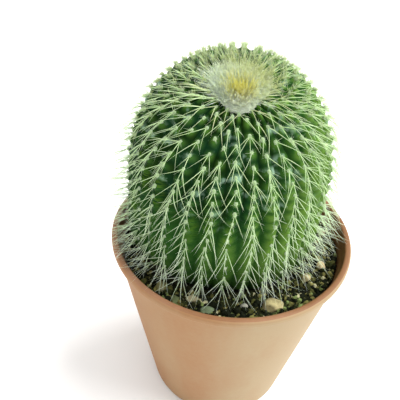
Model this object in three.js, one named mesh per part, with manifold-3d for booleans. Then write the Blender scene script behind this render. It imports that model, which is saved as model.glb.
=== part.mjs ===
// Potted golden ball cactus: a plump ribbed stem, its woolly crown tipped towards the front,
// in a thin plastic nursery pot of dark compost with a few loose stones on it.
// Millimetres, +Z up. The origin is the middle of the pot's underside; the front faces -Y.
import * as THREE from 'three';
import { mergeVertices } from 'three/addons/utils/BufferGeometryUtils.js';
import Module from 'manifold-3d';

// Pot
const potHeight = 50;
const rimRadius = 27.5;
const rimWidth = 1.5;
const rimDepth = 1.8;
const wallRadius = 26.8; // outside, carried up to the rim
const wallTaper = 0.171; // radius lost per millimetre down
const wallThickness = 0.9;
const floorThickness = 1.2;
const footRound = 0.8;
const potSides = 60;
const drainHoles = 6;
const drainHoleRadius = 2.2;
const drainHoleRing = 10.5;
const drainHoleSides = 20;

// Compost and stones
const soilDepth = 4; // from the rim down to the compost
const seatGap = 0.3; // left between any two pieces that touch
const soilSides = 60;
const soilRelief = 0.55; // the grit's height either side of level
const soilRings = [23.7, 22.3, 20.8, 19.2, 17.4, 12]; // radii of the gritty top's rows
const stoneSunk = 0.35; // share of a stone's height under the compost

// Stem: circles about a centre line that leans back at the foot and bows to the front
const stemBase = { x: -2.4, y: 1.9 };
const stemLength = 41.6;
const footRadius = 19.9;
const widestRadius = 22;
const widestAt = 0.178; // share of the length
const domePower = 4.08;
const footLean = -6.5; // degrees, towards the front
const crownTilt = 27.7;
const tiltPower = 1.6;
const footSway = 2.1; // degrees, to the right

// Foot, under the compost: rings by their drop and their share of the stem's lowest circle
const footSteps = [
  { drop: 2.2, share: 0.87 },
  { drop: 4.6, share: 0.64 },
  { drop: 7, share: 0.34 },
  { drop: 9, share: 0.14 },
];
const rootDepth = 17;

// Ribs, areoles and spines
const ribs = 33;
const ribDepth = 2.3;
const footRibDepth = 1.27;
const footZone = 0.22; // share of the stem over which the ribs reach their full depth
const ribSteepness = 2.1; // most depth per half rib spacing, where the ribs crowd together
const notchDepth = 0.55;
const areoleRows = 18; // along the whole stem, from the compost to its tip
const ribStagger = 0.618; // of a row, from each rib to the next
const firstRow = 0.3; // the lowest areole's least distance from the compost, in rows
const spineLength = 8.4;
const spineRadius = 0.24;
const spineRoot = 0.4; // how far it starts behind and below its areole's face
const bareAreoles = 0.26; // share that has shed its spine
const spineSpread = 34; // degrees either side of straight down the rib
const spineStand = { foot: 42, crown: 62 }; // degrees from the surface's own normal

// Crown
const woolRadius = 5.9;
const woolHeight = 1.3;
const woolCorners = 0.08; // of the radius, how far its three corners reach out
const woolSides = 24;
const crownDimple = 0.9;
const ribsEndRadius = 3.2; // the ribs run in under the wool to here
const tuftRadius = 2.9;
const tuftSpines = 38;
const tuftLength = 4.2;

// Stones on the compost: [name, x, y, half sizes, turn in degrees, colour]
const stoneList = [
  ['stone_tan_large', 8.4, -19.9, [2.4, 1.7, 1.5], 18, 0xc4b284],
  ['stone_tan_right', 16.4, -11.6, [1.2, 1.1, 1], 40, 0xc0b080],
  ['stone_tan_rim', 20.3, -7.6, [1.1, 1.4, 1], -15, 0xb7a67c],
  ['stone_olive', -14.6, -16.2, [1.3, 1.3, 1], 25, 0x7f7c50],
  ['stone_pale_left', -11.6, -19.6, [1.1, 1, 0.9], 70, 0xa5b48a],
  ['stone_brown', -7.9, -19.2, [1.5, 0.9, 0.8], -10, 0x8f8266],
  ['stone_pale_front', -4.9, -21.9, [1.5, 1, 0.9], 12, 0xa9b793],
  ['stone_grey', 2.6, -20.2, [0.9, 0.7, 0.6], 30, 0x9a9c8c],
  ['stone_back_right', 18.8, 14.2, [1.5, 1.1, 1], -35, 0xb3a37b],
  ['stone_right', 22.3, 3.4, [0.9, 1.2, 0.8], 5, 0x97916c],
];

const soilHeight = potHeight - soilDepth;
const degree = Math.PI / 180;
const leastEdge = 0.01;
const wasm = await Module();
wasm.setup();

// Helpers

// A seeded draw from 0 to 1
function makeRandom(seed) {
  const [factor, step, range] = [1664525, 1013904223, 2 ** 32];
  let state = seed;
  return () => {
    state = (state * factor + step) % range;
    return state / range;
  };
}

// From 0 to 1 with no corner at either end
function smooth(x) {
  const s = Math.min(1, Math.max(0, x));
  return s * s * (3 - 2 * s);
}

function geometryOf(points, faces) {
  const geometry = new THREE.BufferGeometry().setFromPoints(points);
  geometry.setIndex(faces.flat());
  return geometry;
}

// A three.js shape as an indexed one, with its shared corners merged
function weld(shape) {
  shape.deleteAttribute('normal');
  shape.deleteAttribute('uv');
  return mergeVertices(shape, 1e-4);
}

function toSolid(geometry) {
  const index = geometry.index.array;
  const faces = [];
  for (let i = 0; i < index.length; i += 3) {
    const [a, b, c] = [index[i], index[i + 1], index[i + 2]];
    if (a !== b && b !== c && c !== a) faces.push(a, b, c);
  }
  const mesh = new wasm.Mesh({
    numProp: 3,
    vertProperties: new Float32Array(geometry.attributes.position.array),
    triVerts: new Uint32Array(faces),
  });
  return new wasm.Manifold(mesh);
}

function toGeometry(solid) {
  const { vertProperties, triVerts } = solid.getMesh();
  const points = [];
  const faces = [];
  for (let i = 0; i < vertProperties.length; i += 3) {
    points.push(new THREE.Vector3().fromArray(vertProperties, i));
  }
  for (let i = 0; i < triVerts.length; i += 3) faces.push([...triVerts.slice(i, i + 3)]);
  return geometryOf(points, drawInShortEdges(points, faces));
}

// A join leaves a few edges of almost no length. Each is drawn in to one of its ends, unless
// that would pinch the surface.
function drawInShortEdges(points, faces) {
  const facesAt = points.map(() => new Set());
  for (const face of faces) face.forEach((id) => facesAt[id].add(face));
  const around = (id) => new Set([...facesAt[id]].flat());
  for (const face of faces) {
    for (let corner = 0; corner < 3; corner++) {
      const [keep, drop] = [face[corner], face[(corner + 1) % 3]];
      const gone = !facesAt[keep].has(face);
      if (gone || points[keep].distanceTo(points[drop]) > leastEdge) continue;
      const beside = around(drop);
      const shared = [...around(keep)].filter((id) => beside.has(id) && id !== keep && id !== drop);
      if (shared.length !== 2) continue;
      for (const other of facesAt[drop]) {
        if (other.includes(keep)) {
          other.forEach((id) => id !== drop && facesAt[id].delete(other));
        } else {
          other[other.indexOf(drop)] = keep;
          facesAt[keep].add(other);
        }
      }
      facesAt[drop].clear();
    }
  }
  return faces.filter((face) => facesAt[face[0]].has(face));
}

// Joins solids in pairs, then the pairs, and so on
function joinAll(solids) {
  let row = solids;
  while (row.length > 1) {
    const next = [];
    for (let i = 0; i < row.length; i += 2) {
      next.push(i + 1 < row.length ? row[i].add(row[i + 1]) : row[i]);
    }
    row = next;
  }
  return row[0];
}

// A closed skin over rings of equal count, from the lowest ring to the highest, with a
// single point below and above them
function skinOf(rings, bottom, top) {
  const sides = rings[0].length;
  const points = [...rings.flat(), bottom, top];
  const faces = [];
  for (let i = 0; i < sides; i++) {
    const next = (i + 1) % sides;
    faces.push([points.length - 2, next, i]);
    for (let ring = 0; ring < rings.length - 1; ring++) {
      const low = ring * sides;
      const high = low + sides;
      faces.push([low + i, low + next, high + i]);
      faces.push([low + next, high + next, high + i]);
    }
    const last = (rings.length - 1) * sides;
    faces.push([last + i, last + next, points.length - 1]);
  }
  return geometryOf(points, faces);
}

function turned(profile, sides) {
  const shape = new THREE.LatheGeometry(profile.map(([r, z]) => new THREE.Vector2(r, z)), sides);
  shape.rotateX(Math.PI / 2);
  return weld(shape);
}

function matte(color, roughness) {
  return new THREE.MeshStandardMaterial({ color, roughness, metalness: 0 });
}

// Pot

function wallRadiusAt(height) {
  return wallRadius - wallTaper * (potHeight - height);
}

function makePot() {
  const lip = 0.35; // rounding of the rim's edges
  const rimBottom = potHeight - rimDepth;
  const rimInner = rimRadius - rimWidth;
  const inside = (height) => wallRadiusAt(height) - wallThickness;
  const shell = toSolid(turned([
    [0, 0],
    [wallRadiusAt(0) - footRound, 0],
    [wallRadiusAt(footRound), footRound],
    [wallRadiusAt(rimBottom), rimBottom],
    [rimRadius - lip, rimBottom],
    [rimRadius, rimBottom + lip],
    [rimRadius, potHeight - lip],
    [rimRadius - lip, potHeight],
    [rimInner + lip, potHeight],
    [rimInner, potHeight - lip],
    [inside(rimBottom), rimBottom - lip],
    [inside(floorThickness + footRound), floorThickness + footRound],
    [inside(floorThickness) - footRound, floorThickness],
    [0, floorThickness],
  ], potSides));
  let pot = shell;
  const drill = [drainHoleRadius, drainHoleRadius, 4 * floorThickness, drainHoleSides];
  for (let i = 0; i < drainHoles; i++) {
    const hole = new THREE.CylinderGeometry(...drill);
    hole.rotateX(Math.PI / 2);
    const angle = (i + 0.5) * 360 / drainHoles * degree;
    hole.translate(drainHoleRing * Math.cos(angle), drainHoleRing * Math.sin(angle), 0);
    pot = pot.subtract(toSolid(weld(hole)));
  }
  const mesh = new THREE.Mesh(toGeometry(pot), matte(0xc98b68, 0.55));
  mesh.name = 'pot';
  return mesh;
}

// Stem surface

function stemRadius(u) {
  if (u < widestAt) {
    const w = (widestAt - u) / widestAt;
    return footRadius + (widestRadius - footRadius) * Math.sqrt(1 - w * w);
  }
  const w = (u - widestAt) / (1 - widestAt);
  return widestRadius * Math.sqrt(Math.max(0, 1 - w ** domePower));
}

// Samples of the centre line and of the outline about it, closer together at the tip, where
// the outline turns flat. Each knows its share t of the outline's whole length.
function traceStem() {
  const steps = 600;
  const place = new THREE.Vector3(stemBase.x, stemBase.y, soilHeight);
  const samples = [];
  let run = 0;
  for (let i = 0; i <= steps; i++) {
    const u = 1 - (1 - i / steps) ** 2;
    const bow = u ** tiltPower;
    const tilt = (footLean + (crownTilt - footLean) * bow) * degree;
    const sway = footSway * (1 - bow) * degree;
    const along = new THREE.Vector3(Math.sin(sway), -Math.sin(tilt), Math.cos(tilt)).normalize();
    const radius = stemRadius(u);
    if (i > 0) {
      const before = samples[i - 1];
      const step = (u - before.u) * stemLength;
      place.addScaledVector(before.along, step);
      run += Math.hypot(step, radius - before.radius);
    }
    samples.push({ u, run, radius, along, place: place.clone() });
  }
  for (let i = 0; i <= steps; i++) {
    const [low, high] = [samples[Math.max(0, i - 1)], samples[Math.min(steps, i + 1)]];
    samples[i].t = samples[i].run / run;
    samples[i].lean = Math.atan2(low.radius - high.radius, (high.u - low.u) * stemLength);
  }
  return samples;
}

const stem = traceStem();

function stemSample(t) {
  let low = 0;
  let high = stem.length - 1;
  while (high - low > 1) {
    const middle = (low + high) >> 1;
    if (stem[middle].t <= t) low = middle;
    else high = middle;
  }
  const share = (t - stem[low].t) / (stem[high].t - stem[low].t);
  return {
    radius: THREE.MathUtils.lerp(stem[low].radius, stem[high].radius, share),
    lean: THREE.MathUtils.lerp(stem[low].lean, stem[high].lean, share),
    place: stem[low].place.clone().lerp(stem[high].place, share),
    along: stem[low].along.clone().lerp(stem[high].along, share).normalize(),
  };
}

// The point a height above the stem's outline, with its normal and its tangents
function skin(angle, t, height = 0) {
  const { radius, lean, place, along } = stemSample(t);
  const side = new THREE.Vector3(0, 1, 0).cross(along).normalize();
  const back = along.clone().cross(side);
  const outward = side.multiplyScalar(Math.cos(angle)).addScaledVector(back, Math.sin(angle));
  const normal = outward.clone().multiplyScalar(Math.cos(lean));
  normal.addScaledVector(along, Math.sin(lean));
  const point = place.addScaledVector(outward, radius).addScaledVector(normal, height);
  const across = along.clone().cross(outward).normalize();
  const down = across.clone().cross(normal);
  return { point, normal, across, down };
}

function rowToT(row) {
  return Math.max(0, row) / areoleRows;
}

function radiusAt(t) {
  return stemSample(t).radius;
}

// Under the wool the crown dips, and its ribs die away
function crownDip(t) {
  const dipEdge = woolRadius + 1;
  const slope = 3;
  return -crownDimple * smooth((dipEdge - radiusAt(t)) / slope);
}

function valleyDepth(t) {
  const room = ribSteepness * Math.PI * radiusAt(t) / ribs;
  return Math.min(THREE.MathUtils.lerp(footRibDepth, ribDepth, smooth(t / footZone)), room);
}

// Stem: crest lines with an areole on each row and a notch between rows, and valley lines
// between them

// Where the outline has closed to a radius at the crown
function tNearTip(radius) {
  return stem.find((sample) => sample.t > 0.5 && sample.radius <= radius).t;
}

const crownEdge = tNearTip(ribsEndRadius);
const leastStep = 0.01; // no two points of a line lie closer than this share of the stem

function ribAngle(rib) {
  return rib * 2 * Math.PI / ribs - Math.PI / 2;
}

function areolesOf(rib) {
  const places = [];
  const stagger = (rib * ribStagger) % 1;
  for (let row = stagger; rowToT(row) < crownEdge - leastStep; row++) {
    if (row > firstRow) places.push(row);
  }
  return places;
}

function crestLine(rib) {
  const line = [{ t: 0, height: 0 }];
  for (const row of areolesOf(rib)) {
    const [t, between] = [rowToT(row), rowToT(row + 0.5)];
    line.push({ t, height: crownDip(t) });
    if (between < crownEdge - leastStep) {
      const fade = smooth(radiusAt(t) / ribsEndRadius - 1);
      line.push({ t: between, height: crownDip(between) - notchDepth * fade });
    }
  }
  line.push({ t: crownEdge, height: crownDip(crownEdge) });
  return line.map(({ t, height }) => ({ t, point: skin(ribAngle(rib), t, height).point }));
}

function valleyLine(rib) {
  const line = [];
  for (let row = 0; rowToT(row) < crownEdge - leastStep; row++) line.push(rowToT(row));
  line.push(crownEdge);
  const angle = ribAngle(rib + 0.5);
  return line.map((t) => ({ t, point: skin(angle, t, crownDip(t) - valleyDepth(t)).point }));
}

function footPoint(angle, drop, share, extra = 0) {
  const { place, along } = stemSample(0);
  const { point } = skin(angle, 0);
  return place.clone().lerp(point, share + extra / footRadius).addScaledVector(along, -drop);
}

function makeStem() {
  const points = [];
  const faces = [];
  const lines = [];
  const add = (point) => points.push(point) - 1;
  for (let rib = 0; rib < ribs; rib++) {
    for (const line of [crestLine(rib), valleyLine(rib)]) {
      lines.push(line.map(({ t, point }) => ({ t, id: add(point) })));
    }
  }
  // Between two lines the nearer of the next two points is joined first
  lines.forEach((left, i) => {
    const right = lines[(i + 1) % lines.length];
    let [a, b] = [0, 0];
    while (a < left.length - 1 || b < right.length - 1) {
      const leftNext = a + 1 < left.length ? left[a + 1].t : Infinity;
      const rightNext = b + 1 < right.length ? right[b + 1].t : Infinity;
      if (leftNext <= rightNext) {
        faces.push([left[a].id, right[b].id, left[a + 1].id]);
        a++;
      } else {
        faces.push([left[a].id, right[b].id, right[b + 1].id]);
        b++;
      }
    }
  });
  const tip = add(skin(0, 1, crownDip(1)).point);
  lines.forEach((left, i) => {
    const right = lines[(i + 1) % lines.length];
    faces.push([left.at(-1).id, right.at(-1).id, tip]);
  });
  // The foot draws in under the compost to a short root stock
  let upper = null;
  for (const { drop, share } of footSteps) {
    const ring = [];
    for (let rib = 0; rib < ribs; rib++) ring.push(add(footPoint(ribAngle(rib), drop, share)));
    for (let rib = 0; rib < ribs; rib++) {
      const next = (rib + 1) % ribs;
      if (upper) {
        faces.push([ring[rib], ring[next], upper[rib]], [ring[next], upper[next], upper[rib]]);
      } else {
        const [crest, valley] = [lines[2 * rib][0].id, lines[2 * rib + 1][0].id];
        const nextCrest = lines[2 * next][0].id;
        faces.push([ring[rib], ring[next], valley]);
        faces.push([ring[next], nextCrest, valley], [ring[rib], valley, crest]);
      }
    }
    upper = ring;
  }
  const end = add(footPoint(0, rootDepth, 0));
  upper.forEach((id, i) => faces.push([end, upper[(i + 1) % ribs], id]));
  return geometryOf(points, faces);
}

// Stones

const stones = stoneList.map(([name, x, y, half, turn, color], i) => {
  const centre = new THREE.Vector3(x, y, soilHeight + half[2] * (1 - 2 * stoneSunk));
  return { name, centre, half, turn, color, seed: i + 1 };
});

// A blunt, broken lump; the extra widens it into the seat that it lies in
function stoneShape({ centre, half, turn, seed }, extra = 0) {
  const random = makeRandom(7919 * seed);
  const flat = 0.82; // broken faces cut the rounded lump off here on all sides
  const tilt = 5;
  const shape = weld(new THREE.IcosahedronGeometry(1, 1));
  const corner = new THREE.Vector3();
  const places = shape.attributes.position;
  for (let i = 0; i < places.count; i++) {
    corner.fromBufferAttribute(places, i).multiplyScalar(0.88 + 0.24 * random());
    corner.clampScalar(-flat, flat);
    places.setXYZ(i, corner.x, corner.y, corner.z);
  }
  shape.scale(...half.map((size) => size + extra));
  shape.rotateY(tilt * (2 * random() - 1) * degree);
  shape.rotateZ(turn * degree);
  shape.translate(centre.x, centre.y, centre.z);
  return shape;
}

function makeStone(stone) {
  const mesh = new THREE.Mesh(stoneShape(stone), matte(stone.color, 0.9));
  mesh.name = stone.name;
  return mesh;
}

// Spines: one slender needle from each areole, by turns to the left, straight down and to
// the right, and lifted where it would meet the rim, the compost or a stone

function cone(root, tip, radius) {
  const along = tip.clone().sub(root);
  const shape = new THREE.ConeGeometry(radius, along.length(), 3);
  shape.translate(0, along.length() / 2, 0);
  shape.applyQuaternion(new THREE.Quaternion().setFromUnitVectors(
    new THREE.Vector3(0, 1, 0),
    along.normalize(),
  ));
  shape.translate(root.x, root.y, root.z);
  return toSolid(weld(shape));
}

function isClear(point) {
  const air = 0.5;
  const nearWall = Math.hypot(point.x, point.y) > rimRadius - rimWidth - 2 * air;
  const floor = nearWall ? potHeight + air : soilHeight + soilRelief + air;
  const clearOfStone = ({ centre, half }) => point.distanceTo(centre) > Math.max(...half) + air;
  return point.z > floor && stones.every(clearOfStone);
}

function spineTip({ point, normal, across, down }, usualStand, spread, usualLength) {
  const run = down.clone().multiplyScalar(Math.cos(spread)).addScaledVector(across, Math.sin(spread));
  const shares = [0.3, 0.45, 0.6, 0.75, 0.9, 1]; // tested from where it is clear of its own rib
  const lift = 6; // degrees at each try
  const cut = 0.94; // and each time it is this much shorter
  let length = usualLength;
  for (let stand = usualStand; stand > -usualStand; stand -= lift) {
    const along = normal.clone().multiplyScalar(Math.cos(stand * degree));
    along.addScaledVector(run, Math.sin(stand * degree));
    const tip = point.clone().addScaledVector(along, length);
    if (shares.every((share) => isClear(point.clone().lerp(tip, share)))) return tip;
    length *= cut;
  }
  return null;
}

function makeSpines() {
  const random = makeRandom(9);
  const innermost = woolRadius + 1.4;
  const lowest = soilHeight + 2 * soilRelief;
  const waver = 4; // degrees
  const spines = [];
  for (let rib = 0; rib < ribs; rib++) {
    areolesOf(rib).forEach((row, i) => {
      const t = rowToT(row);
      const areole = skin(ribAngle(rib), t);
      if (radiusAt(t) < innermost || areole.point.z < lowest || random() < bareAreoles) return;
      const side = (i + rib) % 3 - 1;
      const spread = (side * spineSpread + waver * (2 * random() - 1)) * degree;
      const stand = THREE.MathUtils.lerp(spineStand.foot, spineStand.crown, smooth(t));
      const tip = spineTip(areole, stand, spread, spineLength * (0.85 + 0.3 * random()));
      if (!tip) return;
      const along = tip.clone().sub(areole.point).normalize();
      const root = areole.point.clone().addScaledVector(along.add(areole.normal), -spineRoot);
      spines.push(cone(root, tip, spineRadius));
    });
  }
  return spines;
}

function makeCactusBody() {
  const body = joinAll([toSolid(makeStem()), joinAll(makeSpines())]);
  const mesh = new THREE.Mesh(toGeometry(body), matte(0x4c7a3a, 0.6));
  mesh.name = 'cactus_body';
  return mesh;
}

// Crown: a cap of wool, three-cornered with one corner to the front, and the golden young
// spines that stand in its middle

function woolRing(share, heightAbove) {
  const ring = [];
  for (let i = 0; i < woolSides; i++) {
    const angle = i * 2 * Math.PI / woolSides;
    const edge = woolRadius * (1 + woolCorners * Math.cos(3 * (angle + Math.PI / 2)));
    const t = tNearTip(edge * share);
    ring.push(skin(angle, t, crownDip(t) + seatGap + heightAbove).point);
  }
  return ring;
}

function makeCrownWool() {
  const edgeHeight = 0.2 * woolHeight;
  const topAt = (share) => edgeHeight + woolHeight * (1 - share);
  const underside = [0.3, 0.62, 0.88].map((share) => woolRing(share, 0));
  const topSide = [0.93, 0.75, 0.5, 0.25].map((share) => woolRing(share, topAt(share)));
  const middle = (height) => skin(0, 1, crownDip(1) + seatGap + height).point;
  const rings = [...underside, woolRing(1, edgeHeight), ...topSide];
  const cap = toSolid(skinOf(rings, middle(0), middle(topAt(0))));
  const random = makeRandom(11);
  const upright = stem.at(-1).along;
  const goldenAngle = Math.PI * (3 - Math.sqrt(5));
  const spines = [];
  for (let i = 0; i < tuftSpines; i++) {
    const out = tuftRadius * Math.sqrt((i + 0.5) / tuftSpines);
    const { point, normal } = skin(i * goldenAngle, tNearTip(out), crownDip(1) + 2 * seatGap);
    const stray = new THREE.Vector3(random() - 0.5, random() - 0.5, 0);
    const along = upright.clone().multiplyScalar(4).addScaledVector(normal, 2).add(stray).normalize();
    const tip = point.clone().addScaledVector(along, tuftLength * (0.75 + 0.35 * random()));
    spines.push(cone(point, tip, spineRadius));
  }
  const mesh = new THREE.Mesh(toGeometry(joinAll([cap, joinAll(spines)])), matte(0xe6e2bd, 0.95));
  mesh.name = 'crown_wool';
  return mesh;
}

// Compost: a plug in the pot with a gritty top, a socket for the cactus and the stones' seats

function makeSoil() {
  const random = makeRandom(23);
  const bottom = floorThickness + seatGap;
  const reach = (height) => wallRadiusAt(height) - wallThickness - seatGap;
  const circle = (radius, height, relief) => {
    const ring = [];
    for (let i = 0; i < soilSides; i++) {
      const angle = i * 2 * Math.PI / soilSides;
      const z = height + relief * (2 * random() - 1);
      ring.push(new THREE.Vector3(radius * Math.cos(angle), radius * Math.sin(angle), z));
    }
    return ring;
  };
  const edgeRelief = 0.3 * soilRelief;
  const plug = toSolid(skinOf(
    [
      circle(reach(bottom) - footRound, bottom, 0),
      circle(reach(bottom + footRound), bottom + footRound, 0),
      circle(reach(soilHeight), soilHeight, edgeRelief),
      ...soilRings.map((radius) => circle(radius, soilHeight, soilRelief)),
    ],
    new THREE.Vector3(0, 0, bottom),
    new THREE.Vector3(0, 0, soilHeight),
  ));
  const gap = 1.2 * seatGap;
  const socketTop = 0.16; // share of the stem, well above the compost
  const around = (make) => [...Array(ribs).keys()].map((rib) => make(ribAngle(rib)));
  const footRings = footSteps.map(
    ({ drop, share }) => around((angle) => footPoint(angle, drop, share, gap)),
  );
  const stemRings = [0, 0.3, 0.6, 1].map(
    (share) => around((angle) => skin(angle, share * socketTop, gap).point),
  );
  const socket = toSolid(skinOf(
    [...footRings.reverse(), ...stemRings],
    footPoint(0, rootDepth + gap, 0),
    stemSample(socketTop).place,
  ));
  let soil = plug.subtract(socket);
  for (const stone of stones) soil = soil.subtract(toSolid(stoneShape(stone, seatGap)));
  const mesh = new THREE.Mesh(toGeometry(soil), matte(0x2f2a1d, 1));
  mesh.name = 'soil';
  return mesh;
}

const plant = new THREE.Group();
plant.add(makePot(), makeSoil(), makeCactusBody(), makeCrownWool(), ...stones.map(makeStone));

export default plant;
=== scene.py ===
import math

import bpy
import numpy as np
from mathutils import Matrix, Vector


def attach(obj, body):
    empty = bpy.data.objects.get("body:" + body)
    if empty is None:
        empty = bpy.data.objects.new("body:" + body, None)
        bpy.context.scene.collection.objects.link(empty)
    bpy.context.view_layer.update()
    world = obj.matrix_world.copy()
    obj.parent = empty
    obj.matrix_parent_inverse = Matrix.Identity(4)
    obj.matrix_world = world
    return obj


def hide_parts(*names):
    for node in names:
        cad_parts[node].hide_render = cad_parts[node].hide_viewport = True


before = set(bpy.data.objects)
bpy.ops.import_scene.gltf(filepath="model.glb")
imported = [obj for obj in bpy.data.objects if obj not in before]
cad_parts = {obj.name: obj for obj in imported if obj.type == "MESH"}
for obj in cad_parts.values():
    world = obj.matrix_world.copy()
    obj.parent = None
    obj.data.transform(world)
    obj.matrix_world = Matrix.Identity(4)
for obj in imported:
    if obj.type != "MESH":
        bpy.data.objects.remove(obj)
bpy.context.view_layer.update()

# Potted golden ball cactus. Lengths below are in millimetres unless a name says otherwise.
mm = 0.001
fullTurn = 2 * math.pi
upward = np.array([0.0, 0.0, 1.0])
print("frame loaded:", len(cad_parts), "nodes")


# Small helpers

def unit(v):
    return v / np.linalg.norm(v, axis=-1, keepdims=True)


def smooth(x):
    x = np.clip(x, 0, 1)
    return x * x * (3 - 2 * x)


def rise(x, start, width):
    # soft step from 0 at the start up to 1
    return smooth((x - start) / width)


def fall(x, end, width):
    # soft step from 1 down to 0 at the end
    return smooth((end - x) / width)


def mix(a, b, share):
    return a + (b - a) * share


def ripple(points, seed, size):
    # soft lumps from a few turned sine waves, about one lump to every "size"
    rng = np.random.default_rng(seed)
    total = np.zeros(len(points))
    for octave in range(3):
        for _ in range(4):
            wave = unit(rng.normal(size=3)) * fullTurn / size * 1.7 ** octave
            total += np.sin(points @ wave + rng.uniform(0, fullTurn)) / 1.8 ** octave
    return total / 4


def aroundRing(count):
    return np.arange(count) * fullTurn / count


def flatCircle(count):
    turn = aroundRing(count)
    return np.stack([np.cos(turn), np.sin(turn), np.zeros(count)], 1)


def turnFlat(x, y, degrees):
    c, s = math.cos(math.radians(degrees)), math.sin(math.radians(degrees))
    return x * c - y * s, x * s + y * c


def newMesh(name, points, faces, flat=False):
    # faces is a list of index arrays, one for each number of corners
    mesh = bpy.data.meshes.new(name)
    allFaces = [face for group in faces for face in group.tolist()]
    mesh.from_pydata((np.asarray(points) * mm).tolist(), [], allFaces, shade_flat=flat)
    mesh.validate()
    return mesh


def newObject(name, data):
    thing = bpy.data.objects.new(name, data)
    bpy.context.scene.collection.objects.link(thing)
    return thing


def meshPiece(name, points, faces, material, marks=None, flat=False):
    mesh = newMesh(name, points, faces, flat)
    for mark, values in (marks or {}).items():
        attribute = mesh.attributes.new(mark, "FLOAT", "POINT")
        attribute.data.foreach_set("value", np.asarray(values, np.float32))
    mesh.materials.append(material)
    piece = newObject(name, mesh)
    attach(piece, "root")
    return piece


def capFaces(ring, tip, up):
    turned = np.roll(ring, -1)
    tips = np.full(len(ring), tip)
    return np.stack([ring, turned, tips] if up else [turned, ring, tips], -1)


def closedShapes(points, rows, columns):
    # closed skins over rings, each with a lowest and a highest point after its rings
    # points is (shapes, points in each, 3)
    r, c = np.meshgrid(np.arange(rows - 1), np.arange(columns), indexing="ij")
    here, beside = r * columns + c, r * columns + (c + 1) % columns
    quads = np.stack([here, beside, columns + beside, columns + here], -1).reshape(-1, 4)
    low, high = np.arange(columns), (rows - 1) * columns + np.arange(columns)
    ends = np.concatenate([capFaces(low, rows * columns, False), capFaces(high, rows * columns + 1, True)])
    shift = (np.arange(len(points)) * points.shape[1])[:, None, None]
    return points.reshape(-1, 3), [(quads + shift).reshape(-1, 4), (ends + shift).reshape(-1, 3)]


def closedRings(rings, bottom, top):
    points = np.concatenate([*rings, [bottom, top]])
    return closedShapes(points[None], len(rings), len(rings[0]))


def joinMeshes(parts):
    # parts are (points, faces, marks)
    points, byCorners, marks, count = [], {4: [], 3: []}, {}, 0
    for somePoints, someFaces, someMarks in parts:
        points.append(somePoints)
        for f in someFaces:
            byCorners[f.shape[1]].append(f + count)
        for key, value in someMarks.items():
            marks.setdefault(key, []).append(value)
        count += len(somePoints)
    faces = [np.concatenate(group) for group in byCorners.values()]
    return np.concatenate(points), faces, {key: np.concatenate(value) for key, value in marks.items()}


def ballPoints(rows, columns):
    # directions in rings from the bottom up, then the two poles
    polar = np.linspace(math.pi, 0, rows + 2)[1:-1, None, None]
    rings = flatCircle(columns) * np.sin(polar) + upward * np.cos(polar)
    return np.concatenate([rings.reshape(-1, 3), [-upward, upward]])


# Materials

class Look:
    # a material; most methods add a node and give back the socket with its result
    def __init__(self, name):
        self.material = bpy.data.materials.new(name)
        self.material.use_nodes = True
        self.nodes = self.material.node_tree.nodes
        self.shader = self.nodes["Principled BSDF"]

    def feed(self, socket, value):
        if isinstance(value, bpy.types.NodeSocket):
            self.material.node_tree.links.new(value, socket)
        else:
            socket.default_value = (*value, 1) if socket.type == "RGBA" else value

    def add(self, kind, inputs=(), **settings):
        node = self.nodes.new("ShaderNode" + kind)
        for key, value in settings.items():
            setattr(node, key, value)
        for key, value in dict(inputs).items():
            self.feed(node.inputs[key], value)
        return node

    def marks(self, *names):
        return [self.add("Attribute", attribute_name=name).outputs["Fac"] for name in names]

    def place(self):
        return self.add("TexCoord").outputs["Object"]

    def noise(self, scalePerMm, detail=4, roughness=0.6, stretch=None):
        where = self.place()
        if stretch:
            where = self.add("Mapping", {"Scale": stretch, "Vector": where}).outputs["Vector"]
        inputs = {"Scale": scalePerMm / mm, "Detail": detail, "Roughness": roughness, "Vector": where}
        return self.add("TexNoise", inputs).outputs["Fac"]

    def ramp(self, value, *stops, kind="LINEAR"):
        # stops are (position, colour or share)
        node = self.add("ValToRGB", {"Fac": value})
        node.color_ramp.interpolation = kind
        elements = node.color_ramp.elements
        while len(elements) < len(stops):
            elements.new(0.5)
        for element, (position, colour) in zip(elements, stops):
            element.position = position
            element.color = (*colour, 1) if isinstance(colour, tuple) else (colour, colour, colour, 1)
        return node.outputs["Color"]

    def blend(self, share, a, b, kind="MIX"):
        node = self.add("Mix", {0: share}, data_type="RGBA", blend_type=kind)
        self.feed(node.inputs[6], a)
        self.feed(node.inputs[7], b)
        return node.outputs[2]

    def maths(self, operation, a, b):
        return self.add("Math", {0: a, 1: b}, operation=operation).outputs[0]

    def plus(self, a, b):
        return self.maths("ADD", a, b)

    def times(self, first, *others):
        for other in others:
            first = self.maths("MULTIPLY", first, other)
        return first

    def bump(self, height, strength, depth):
        node = self.add("Bump", {"Strength": strength, "Distance": depth * mm, "Height": height})
        self.feed(self.shader.inputs["Normal"], node.outputs["Normal"])

    def surface(self, colour, roughness, gloss=0.5, soft=None, sheen=0.0):
        # soft is the share of light under the skin, its reach for each colour and its depth
        values = {"Base Color": colour, "Roughness": roughness, "Specular IOR Level": gloss}
        values["Sheen Weight"] = sheen
        if soft:
            values["Subsurface Weight"], values["Subsurface Radius"] = soft[:2]
            values["Subsurface Scale"] = soft[2] * mm
        for key, value in values.items():
            self.feed(self.shader.inputs[key], value)


# Stem surface: circles about a centre line that leans back at the foot and bows to the front

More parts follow.
